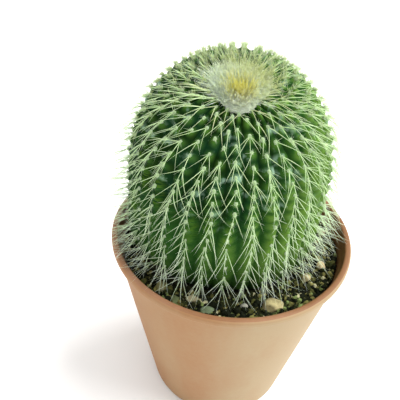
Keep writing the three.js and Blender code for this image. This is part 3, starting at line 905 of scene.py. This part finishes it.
crown = {
    "height": 0.8,
    "columns": 96,
    # rings of the pad from its edge inwards: share of its radius, height
    "rings": ((1.0, -1.2), (1.02, -0.35), (0.99, 0), (0.94, 0), (0.87, 0), (0.78, 0), (0.68, 0), (0.57, 0),
              (0.46, 0), (0.35, 0), (0.24, 0), (0.13, 0), (0.05, 0)),
    "lumps": (0.24, 1.1),
    "strands": 3000,
    "strandLength": (0.8, 1.6),
    "strandLean": 0.3,
    "strandRadius": 0.052,
    "curl": (0.12, 0.3),  # width of the curls
    "curlTurns": (3, 8),  # radians from root to tip
    "felt": (0.78, 0.89, 0.70),
    "feltShadow": (0.50, 0.63, 0.42),
    "warmColour": (0.46, 0.53, 0.20),  # wool and spines are yellower to the right and the back
    "warmth": 0.8,
    "warmAxis": (0.45, 0.75),
    "coreColour": (0.60, 0.58, 0.16),  # the wool between the young golden spines
    "coreShare": 0.55,
    # painted light on the front corner of the wool and on the young spines there
    "frontPaintedLightColour": (0.90, 0.98, 0.79),
    # painted shade at the roots of the young spines, down in the wool
    "rootShadeColour": (0.52, 0.50, 0.18),
    # young spines from the middle of the yellow outwards
    "spineTones": ((0.3, (0.66, 0.62, 0.13)), (0.55, (0.66, 0.66, 0.23)), (0.78, (0.66, 0.71, 0.38)),
                   (0.95, (0.68, 0.80, 0.58))),
    # young spines: how many, share of the wool they stand in, length, radius, outward lean
    "gold": {"count": 520, "reach": (0.0, 0.58), "fall": 0.85, "length": (2.0, 3.3),
             "radius": 0.048, "lean": 0.3},
    "pale": {"count": 1500, "reach": (0.2, 1.0), "fall": 0.5, "length": (1.3, 2.4),
             "radius": 0.045, "lean": 0.45},
    "edge": {"count": 260, "reach": (0.8, 1.0), "fall": 0.7, "length": (2.2, 4.6),
             "radius": 0.042, "lean": 1.5, "round": (-0.7, 3.84)},  # radians, from right to left behind
    "goldCentre": (-0.03, -0.24),  # middle of the yellow, in shares of the wool's radius
    "goldDrift": 0.14,  # it fades more slowly to the right and the back
    "spineSurface": {"roughness": 0.45, "soft": (0.5, (0.4, 0.38, 0.2), 0.3)},
}


def crownPoint(angle, share, height=0.0):
    # share 0 at the middle of the wool, 1 at its edge
    t = tNearTip(share * woolEdge(angle))
    dome = crown["height"] * (1 - np.clip(share, 0, 1) ** 2) - 0.6 * fall(share, 0.6, 0.6)
    return skin(angle, t, crownDip(t) + dome + height)


def crownOffset(points):
    return (points - skin(0.0, 1.0)[0]) / stem["woolRadius"]


def warmShare(points):
    across, back = crown["warmAxis"]
    offset = crownOffset(points)
    return smooth(0.15 + across * offset[:, 0] + back * offset[:, 1]) * crown["warmth"]


def frontPaintedLight(points):
    # painted light: the front corner of the wool, which faces away from the key light, is lifted to nearly
    # white
    return 0.9 * fall(crownOffset(points)[:, 1], -0.4, 0.35)


def makeCrownWool():
    rng = np.random.default_rng(31)
    angle = aroundRing(crown["columns"])
    lumpHeight, lumpSize = crown["lumps"]
    rings = []
    for share, height in crown["rings"]:
        point, normal, _, _ = crownPoint(angle, np.full(len(angle), share), height)
        rings.append(point + normal * (lumpHeight * ripple(point, 32, lumpSize))[:, None])
    middle = np.zeros(1)
    low, top = (crownPoint(middle, middle, height)[0][0] for height in (-1.9, 0.0))
    pad, padFaces = closedRings(rings, low, top)
    count = crown["strands"]
    angle, share = rng.uniform(0, fullTurn, count), np.sqrt(rng.uniform(0.03, 1.0, count))
    point, normal, _, down = crownPoint(angle, share, -0.15)
    s = np.linspace(0, 1, 6)[None]
    length = rng.uniform(*crown["strandLength"], count) * mix(1.0, 0.8, share)
    lean = unit(normal + down * (crown["strandLean"] * share)[:, None] + rng.normal(0, 0.4, point.shape))
    curlA = unit(np.cross(lean, rng.normal(0, 1, point.shape)))
    curlB = np.cross(lean, curlA)
    phase = rng.uniform(0, fullTurn, count)[:, None] + s * rng.uniform(*crown["curlTurns"], count)[:, None]
    width = (rng.uniform(*crown["curl"], count)[:, None] * s ** 0.7)[..., None]
    curl = curlA[:, None] * np.cos(phase)[..., None] + curlB[:, None] * np.sin(phase)[..., None]
    paths = point[:, None] + lean[:, None] * (s * length[:, None])[..., None] + width * curl
    strands, strandFaces, _ = tubeMesh(paths, np.full(count, crown["strandRadius"]), 3, 3.0)
    points, faces, _ = joinMeshes([(pad, padFaces, {}), (strands, strandFaces, {})])
    tints = {"warm": crown["warmColour"], "core": crown["coreColour"], "front": crown["frontPaintedLightColour"]}
    material = woolMaterial("crownFelt", crown["felt"], crown["feltShadow"], tints)
    offset = crownOffset(points)
    core = crown["coreShare"] * fall(np.hypot(offset[:, 0] - 0.1, offset[:, 1] + 0.2), 0.55, 0.4)
    marks = {"warm": warmShare(points), "core": core, "front": frontPaintedLight(points)}
    piece = meshPiece("crownWool", points, faces, material, marks)
    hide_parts("crown_wool")


def brushMaterial():
    look = Look("youngSpine")
    along, share, tint, warm, front = look.marks("along", "share", "tint", "warm", "front")
    spread = look.plus(share, look.times(tint, 0.22))
    colour = look.ramp(spread, *crown["spineTones"])
    outer = look.ramp(spread, (0.5, 0), (0.9, 1))
    colour = look.blend(look.times(warm, outer), colour, crown["warmColour"])
    # painted light on the front corner
    colour = look.blend(front, colour, crown["frontPaintedLightColour"])
    # painted shade towards the roots, in patches
    root = look.times(look.maths("SUBTRACT", 1.0, along), look.noise(1.5, 3), 0.3)
    look.surface(look.blend(root, colour, crown["rootShadeColour"]), **crown["spineSurface"])
    look.bump(look.noise(7, 3, 0.6), 0.3, 0.03)
    return look.material


def makeCrownBrush():
    rng = np.random.default_rng(33)
    goldX, goldY = crown["goldCentre"]
    parts = []
    for kind in ("gold", "pale", "edge"):
        look = crown[kind]
        count = look["count"]
        turn = rng.uniform(*look.get("round", (0, fullTurn)), count)
        ring = mix(*look["reach"], rng.uniform(0, 1, count) ** look["fall"])
        middle = crown["goldCentre"] if kind == "gold" else (0, 0)
        x, y = middle[0] + ring * np.cos(turn), middle[1] + ring * np.sin(turn)
        share, angle = np.hypot(x, y), np.arctan2(y, x)
        point, normal, _, down = crownPoint(angle, share, -0.3)
        directions = unit(normal + down * (look["lean"] * share)[:, None] + rng.normal(0, 0.1, point.shape))
        lengths = rng.uniform(*look["length"], count)
        paths = bentPaths(point, directions, rng.normal(0, 0.05, point.shape), lengths, 4)
        points, faces, along = tubeMesh(paths, np.full(count, look["radius"]), 4)
        each = len(points) // count
        fromGold = np.hypot(x - goldX, y - goldY) - crown["goldDrift"] * (x + y)
        marks = {"along": along, "share": np.repeat(fromGold, each), "warm": warmShare(points),
                 "front": frontPaintedLight(points), "tint": np.repeat(rng.uniform(0, 1, count), each)}
        parts.append((points, faces, marks))
    points, faces, marks = joinMeshes(parts)
    piece = meshPiece("crownBrush", points, faces, brushMaterial(), marks)
    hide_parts("crown_wool")


makeCrownWool()
makeCrownBrush()
print("crown done")


# Compost: a plug that fills the pot, with loose crumbs on top

crumbs = {
    "count": 3400,
    "sizes": (0.22, 0.75),
    "rough": 0.22,
    "ring": (14, 24.9),  # nearest to and farthest from the pot's middle
    # from this share of the crumbs up they have this colour
    "tones": ((0.0, (0.006, 0.009, 0.002)), (0.48, (0.026, 0.034, 0.008)), (0.66, (0.08, 0.086, 0.024)),
              (0.79, (0.19, 0.185, 0.06)), (0.90, (0.19, 0.26, 0.09)), (0.965, (0.54, 0.54, 0.34))),
    "surface": {"roughness": 0.85, "gloss": 0.15},
}


def compostMaterial():
    look = Look("darkCompost")
    lumpy = look.noise(0.9, 6, 0.7)
    colour = look.ramp(lumpy, (0.3, compost["dark"]), (0.62, compost["brown"]), (0.8, compost["lit"]))
    look.surface(colour, **compost["surface"])
    look.bump(look.noise(2.6, 6, 0.75), 0.9, 0.5)
    return look.material


def unevenGround(points):
    return compost["relief"] * ripple(points, 41, compost["reliefSize"])


def makeCompost():
    circle = flatCircle(compost["columns"])
    bottom, gap = pot["floor"] + compost["gap"], compost["gap"]
    rings = []
    for height in (bottom, bottom + 0.6, 15, 30, compostHeight - 0.9, compostHeight - 0.25):
        inner = potRadius(height) - pot["wall"] - gap - (0.6 if height == bottom else 0)
        rings.append(circle * inner + upward * height)
    edge = circle * (potRadius(compostHeight) - pot["wall"] - 0.55) + upward * compostHeight
    fromStem = edge - np.array(stem["base"])
    footAngle = np.arctan2(fromStem[:, 1], fromStem[:, 0])
    foot = footPoint(footAngle, 0.0, 1.0, gap)
    foot[:, 2] = compostHeight
    for share in np.linspace(0, 1, compost["rows"]):
        ring = mix(edge, foot, share)
        relief = unevenGround(ring) * smooth(8 * share + 0.1) * smooth(6 * (1 - share) + 0.2)
        rings.append(ring + upward * relief[:, None])
    for drop, share in stem["foot"]:
        rings.append(footPoint(footAngle, drop + gap, share, gap))
    socket = footPoint(np.zeros(1), stem["rootDepth"] + gap, 0)[0]
    points, faces = closedRings(rings, upward * bottom, socket)
    piece = meshPiece("compostPlug", points, faces, compostMaterial())
    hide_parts("soil")


def crumbPlaces(rng):
    # random places on the ring of compost that shows, clear of the stem
    nearest, farthest = crumbs["ring"]
    found = []
    while len(found) < crumbs["count"]:
        angle, radius = rng.uniform(0, fullTurn), math.sqrt(rng.uniform(nearest ** 2, farthest ** 2))
        x, y = radius * math.cos(angle), radius * math.sin(angle)
        if math.hypot(x - stem["base"][0], y - stem["base"][1]) > stem["footRadius"] - 0.2:
            found.append((x, y))
    return np.array(found)


def turnedAxes(rng, count):
    a = unit(rng.normal(size=(count, 3)))
    b = unit(np.cross(a, rng.normal(size=(count, 3))))
    return np.stack([a, b, np.cross(a, b)], 1)


def besidePebbles(place, size):
    # crumbs that would poke through a pebble move out to its edge
    for x, y, half, turn, _ in pebbles.values():
        offset = place - (x, y)
        u, v = turnFlat(offset[:, 0], offset[:, 1], -turn)
        share = np.hypot(u / (half[0] * 0.9 + size * 0.5), v / (half[1] * 0.9 + size * 0.5))
        place = np.where((share < 1)[:, None], (x, y) + offset / np.maximum(share, 0.05)[:, None], place)
    return place


def crumbMaterial():
    look = Look("crumbs")
    tone = look.ramp(look.marks("tint")[0], *crumbs["tones"], kind="CONSTANT")
    speck = look.noise(2.2, 4)
    shade = look.ramp(speck, (0.25, (0.45, 0.43, 0.4)), (0.7, (1.15, 1.1, 1.0)))
    look.surface(look.blend(1.0, tone, shade, "MULTIPLY"), **crumbs["surface"])
    look.bump(speck, 0.6, 0.15)
    return look.material


def makeCrumbs():
    rng = np.random.default_rng(42)
    count = crumbs["count"]
    place = crumbPlaces(rng)
    size = rng.uniform(0, 1, count) ** 2.2
    half = mix(*crumbs["sizes"], size)[:, None] * rng.uniform(0.6, 1.2, (count, 3))
    widest = half.max(1)
    place = besidePebbles(place, widest)
    ground = compostHeight + unevenGround(np.c_[place, np.full(count, compostHeight)])
    fromMiddle = np.hypot(place[:, 0], place[:, 1])
    limit = potRadius(compostHeight) - pot["wall"] - 0.15 - widest
    place = place * np.minimum(1, limit / fromMiddle)[:, None]
    centres = np.c_[place, ground + half.min(1) * rng.uniform(-0.2, 0.7, count)]
    points, faces = lumps(centres, turnedAxes(rng, count), half, 3, 6, 43, crumbs["rough"])
    tint = np.repeat(rng.uniform(0, 1, count), len(points) // count)
    piece = meshPiece("compostCrumbs", points, faces, crumbMaterial(), {"tint": tint}, flat=True)
    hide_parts("soil")


makeCompost()
makeCrumbs()
print("compost done")


# Pebbles: rounded broken stones, each cut by a few flat faces

stoneLook = {
    "rows": 34,
    "columns": 56,
    "faces": 13,
    "reach": (0.72, 0.98),  # distance of the flat faces from the middle
    "softness": 26,
    "lumps": (0.05, 1.1),
    "surface": {"roughness": 0.75, "gloss": 0.2},
}


def stoneMaterial(name, colour):
    look = Look(name)
    colour = np.array(colour)
    dark, light = tuple(colour * 0.5), tuple(np.minimum(colour * 1.35, 0.9))
    tone = look.ramp(look.noise(0.7, 5, 0.65), (0.28, dark), (0.5, tuple(colour)), (0.72, light))
    dots = look.ramp(look.noise(3.4, 3, 0.7), (0.60, 0), (0.70, 1))
    tone = look.blend(look.times(dots, 0.55), tone, tuple(colour * 0.35))
    look.surface(tone, **stoneLook["surface"])
    look.bump(look.noise(1.8, 6, 0.75), 0.7, 0.25)
    return look.material


def makeStone(name, x, y, half, turn, colour, seed):
    rng = np.random.default_rng(seed)
    rows, columns = stoneLook["rows"], stoneLook["columns"]
    planes = unit(rng.normal(size=(stoneLook["faces"], 3)))
    reach = rng.uniform(*stoneLook["reach"], stoneLook["faces"])
    direction = ballPoints(rows, columns)
    lean = np.maximum(direction @ planes.T, 0.0) / reach
    softness = stoneLook["softness"]
    radius = 1 / np.maximum((lean ** softness).sum(-1), 0.9) ** (1 / softness)
    local = direction * np.minimum(radius, 1.0)[:, None] * np.array(half)
    lumpHeight, lumpSize = stoneLook["lumps"]
    local = local + direction * (lumpHeight * ripple(local, seed + 1, lumpSize) * min(half))[:, None]
    spun = np.stack([*turnFlat(local[:, 0], local[:, 1], turn), local[:, 2]], 1)
    points, faces = closedShapes((spun + (x, y, compostHeight + half[2] * pebbleLift))[None], rows, columns)
    return meshPiece(name, points, faces, stoneMaterial(name, colour))


for number, (node, values) in enumerate(pebbles.items()):
    label = "".join(word.capitalize() for word in node.split("_")[1:])
    stone = makeStone("pebble" + label, *values, 50 + number)
    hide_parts(node)
print("pebbles done")


# Pot: a thin moulded shell with a narrow rolled rim and drain holes in its floor

def arc(centre, radius, fromDegrees, toDegrees, steps):
    turn = np.radians(np.linspace(fromDegrees, toDegrees, steps))
    return [(centre[0] + radius * math.cos(a), centre[1] + radius * math.sin(a)) for a in turn]


def potProfile():
    # (radius, height) from the middle of the underside, up the outside, over the rim and down the inside
    height, rim, width, foot = (pot[key] for key in ("height", "rimRadius", "rimWidth", "footRound"))
    wall, floor, lip = pot["wall"], pot["floor"], 0.45
    below = height - pot["rimDepth"]
    profile = [(potRadius(0) - foot - 0.9, 0.0), (potRadius(0) - foot, 0.0)]
    profile += arc((potRadius(0) - foot, foot), foot, -80, -8, 5)
    profile += [(potRadius(h), h) for h in np.linspace(foot + 0.4, below - 0.35, 24)]
    profile += [(potRadius(below - 0.05), below - 0.05)]
    profile += arc((rim - lip, below + lip), lip, -60, 0, 4)
    profile += arc((rim - 0.7, height - 0.7), 0.7, 0, 90, 7)
    profile += arc((rim - width + 0.5, height - 0.5), 0.5, 90, 180, 6)
    profile += [(rim - width + 0.02, below + 0.2)]
    profile += [(potRadius(h) - wall, h) for h in np.linspace(below - 0.6, floor + 1.0, 20)]
    profile += [(potRadius(0) - wall - 0.35, floor + 0.2), (potRadius(0) - wall - 1.2, floor)]
    return profile


def clayMaterial():
    look = Look("clayPlastic")
    split = look.add("SeparateXYZ", {"Vector": look.place()}).outputs
    fine = look.noise(0.9, 5, 0.7)
    cloud = look.plus(look.times(look.noise(0.045, 4, 0.55, (1, 1, 0.45)), 0.85), look.times(fine, 0.15))
    # painted light and shade across X: the wall paler and the rim darker towards +X
    side = look.times(split["X"], pot["sideLightShift"] / mm)
    rimTone = look.ramp(look.maths("SUBTRACT", cloud, side), (0.42, pot["clay"]), (0.78, pot["clayPale"]))
    wallTone = look.ramp(look.plus(cloud, side), (0.30, pot["wallWarm"]), (0.66, pot["wallPale"]))
    # below the rim the outside takes the wall colours, paler from painted light through the thin plastic
    under = look.ramp(look.maths("DIVIDE", split["Z"], pot["height"] * mm), (0.984, 1), (0.996, 0))
    flat = look.add("CombineXYZ", {"X": split["X"], "Y": split["Y"]}).outputs["Vector"]
    radius = look.add("VectorMath", {0: flat}, operation="LENGTH").outputs["Value"]
    middle = look.plus(look.times(split["Z"], pot["taper"]), (potRadius(0) - pot["wall"] / 2) * mm)
    outside = look.times(under, look.maths("GREATER_THAN", radius, middle))
    # painted highlight along the rim's outer edge
    edgeHighlight = look.maths("GREATER_THAN", radius, (pot["rimRadius"] - pot["highlightEdgeWidth"]) * mm)
    share = look.maths("MAXIMUM", outside, look.times(edgeHighlight, pot["highlightEdgeShare"]))
    look.surface(look.blend(share, rimTone, wallTone), **pot["surface"])
    look.bump(fine, 0.25, 0.1)
    return look.material


def makeDrill():
    # a rod for each drain hole
    circle = flatCircle(24) * pot["drainRadius"]
    parts = []
    for turn in aroundRing(pot["drainHoles"]):
        centre = np.array([math.cos(turn), math.sin(turn), 0]) * pot["drainRing"]
        low, high = centre - upward, centre + upward * (pot["floor"] + 1)
        parts.append((*closedRings([circle + low, circle + high], low, high), {}))
    points, faces, _ = joinMeshes(parts)
    return newObject("drill", newMesh("drill", points, faces, flat=True))


def makePot():
    circle = flatCircle(pot["sides"])
    rings = [circle * radius + upward * height for radius, height in potProfile()]
    points, faces = closedRings(rings, upward * 0, upward * pot["floor"])
    piece = meshPiece("potShell", points, faces, clayMaterial())
    drill = makeDrill()
    cut = piece.modifiers.new("drain holes", "BOOLEAN")
    cut.operation = "DIFFERENCE"
    cut.object = drill
    cut.solver = "EXACT"
    finished = bpy.data.meshes.new_from_object(piece.evaluated_get(bpy.context.evaluated_depsgraph_get()))
    piece.modifiers.clear()
    piece.data = finished
    bpy.data.objects.remove(drill)
    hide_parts("pot")


makePot()
print("pot done")


# Studio: pale floor, soft light from the right and above, camera from the front

studio = {
    "floorSize": 3000,
    "floorColour": (0.93, 0.93, 0.92),
    "skyStrength": 1.05,
    "keyStrength": 4.4,
    "keyAngle": 50,  # degrees across, for soft shadows
    "keyFrom": (0.8, 0.1, 1.0),
    "lens": 43.2,
    "elevation": 38.108,
    "roll": -3.218,
    "cameraPlace": (-7.603, 5.721, 111.697),  # right, up and back from the middle of the rim
}


def makeStudio():
    scene = bpy.context.scene
    corners = np.array([(-1, -1, 0), (1, -1, 0), (1, 1, 0), (-1, 1, 0)]) * studio["floorSize"] / 2
    floor = newObject("floor", newMesh("floor", corners, [np.array([[0, 1, 2, 3]])], flat=True))
    look = Look("paleFloor")
    look.surface(studio["floorColour"], 0.9)
    floor.data.materials.append(look.material)
    scene.world = bpy.data.worlds.new("studio")
    scene.world.use_nodes = True
    background = scene.world.node_tree.nodes["Background"]
    background.inputs["Color"].default_value = (1, 1, 1, 1)
    background.inputs["Strength"].default_value = studio["skyStrength"]
    key = bpy.data.lights.new("key", "SUN")
    key.energy = studio["keyStrength"]
    key.angle = math.radians(studio["keyAngle"])
    lamp = newObject("key", key)
    lamp.rotation_euler = Vector(studio["keyFrom"]).to_track_quat("Z", "Y").to_euler()
    scene.view_settings.view_transform = "Standard"


def makeCamera():
    data = bpy.data.cameras.new("camera")
    data.lens = studio["lens"]
    data.sensor_width = 36
    data.clip_start = 0.01
    camera = newObject("camera", data)
    rim = Matrix.Translation((0, 0, pot["height"] * mm))
    tilt = Matrix.Rotation(math.radians(90 - studio["elevation"]), 4, "X")
    shift = Matrix.Translation(Vector(studio["cameraPlace"]) * mm)
    roll = Matrix.Rotation(math.radians(-studio["roll"]), 4, "Z")
    camera.matrix_world = rim @ tilt @ shift @ roll
    bpy.context.scene.camera = camera


makeStudio()
makeCamera()
print("studio done")
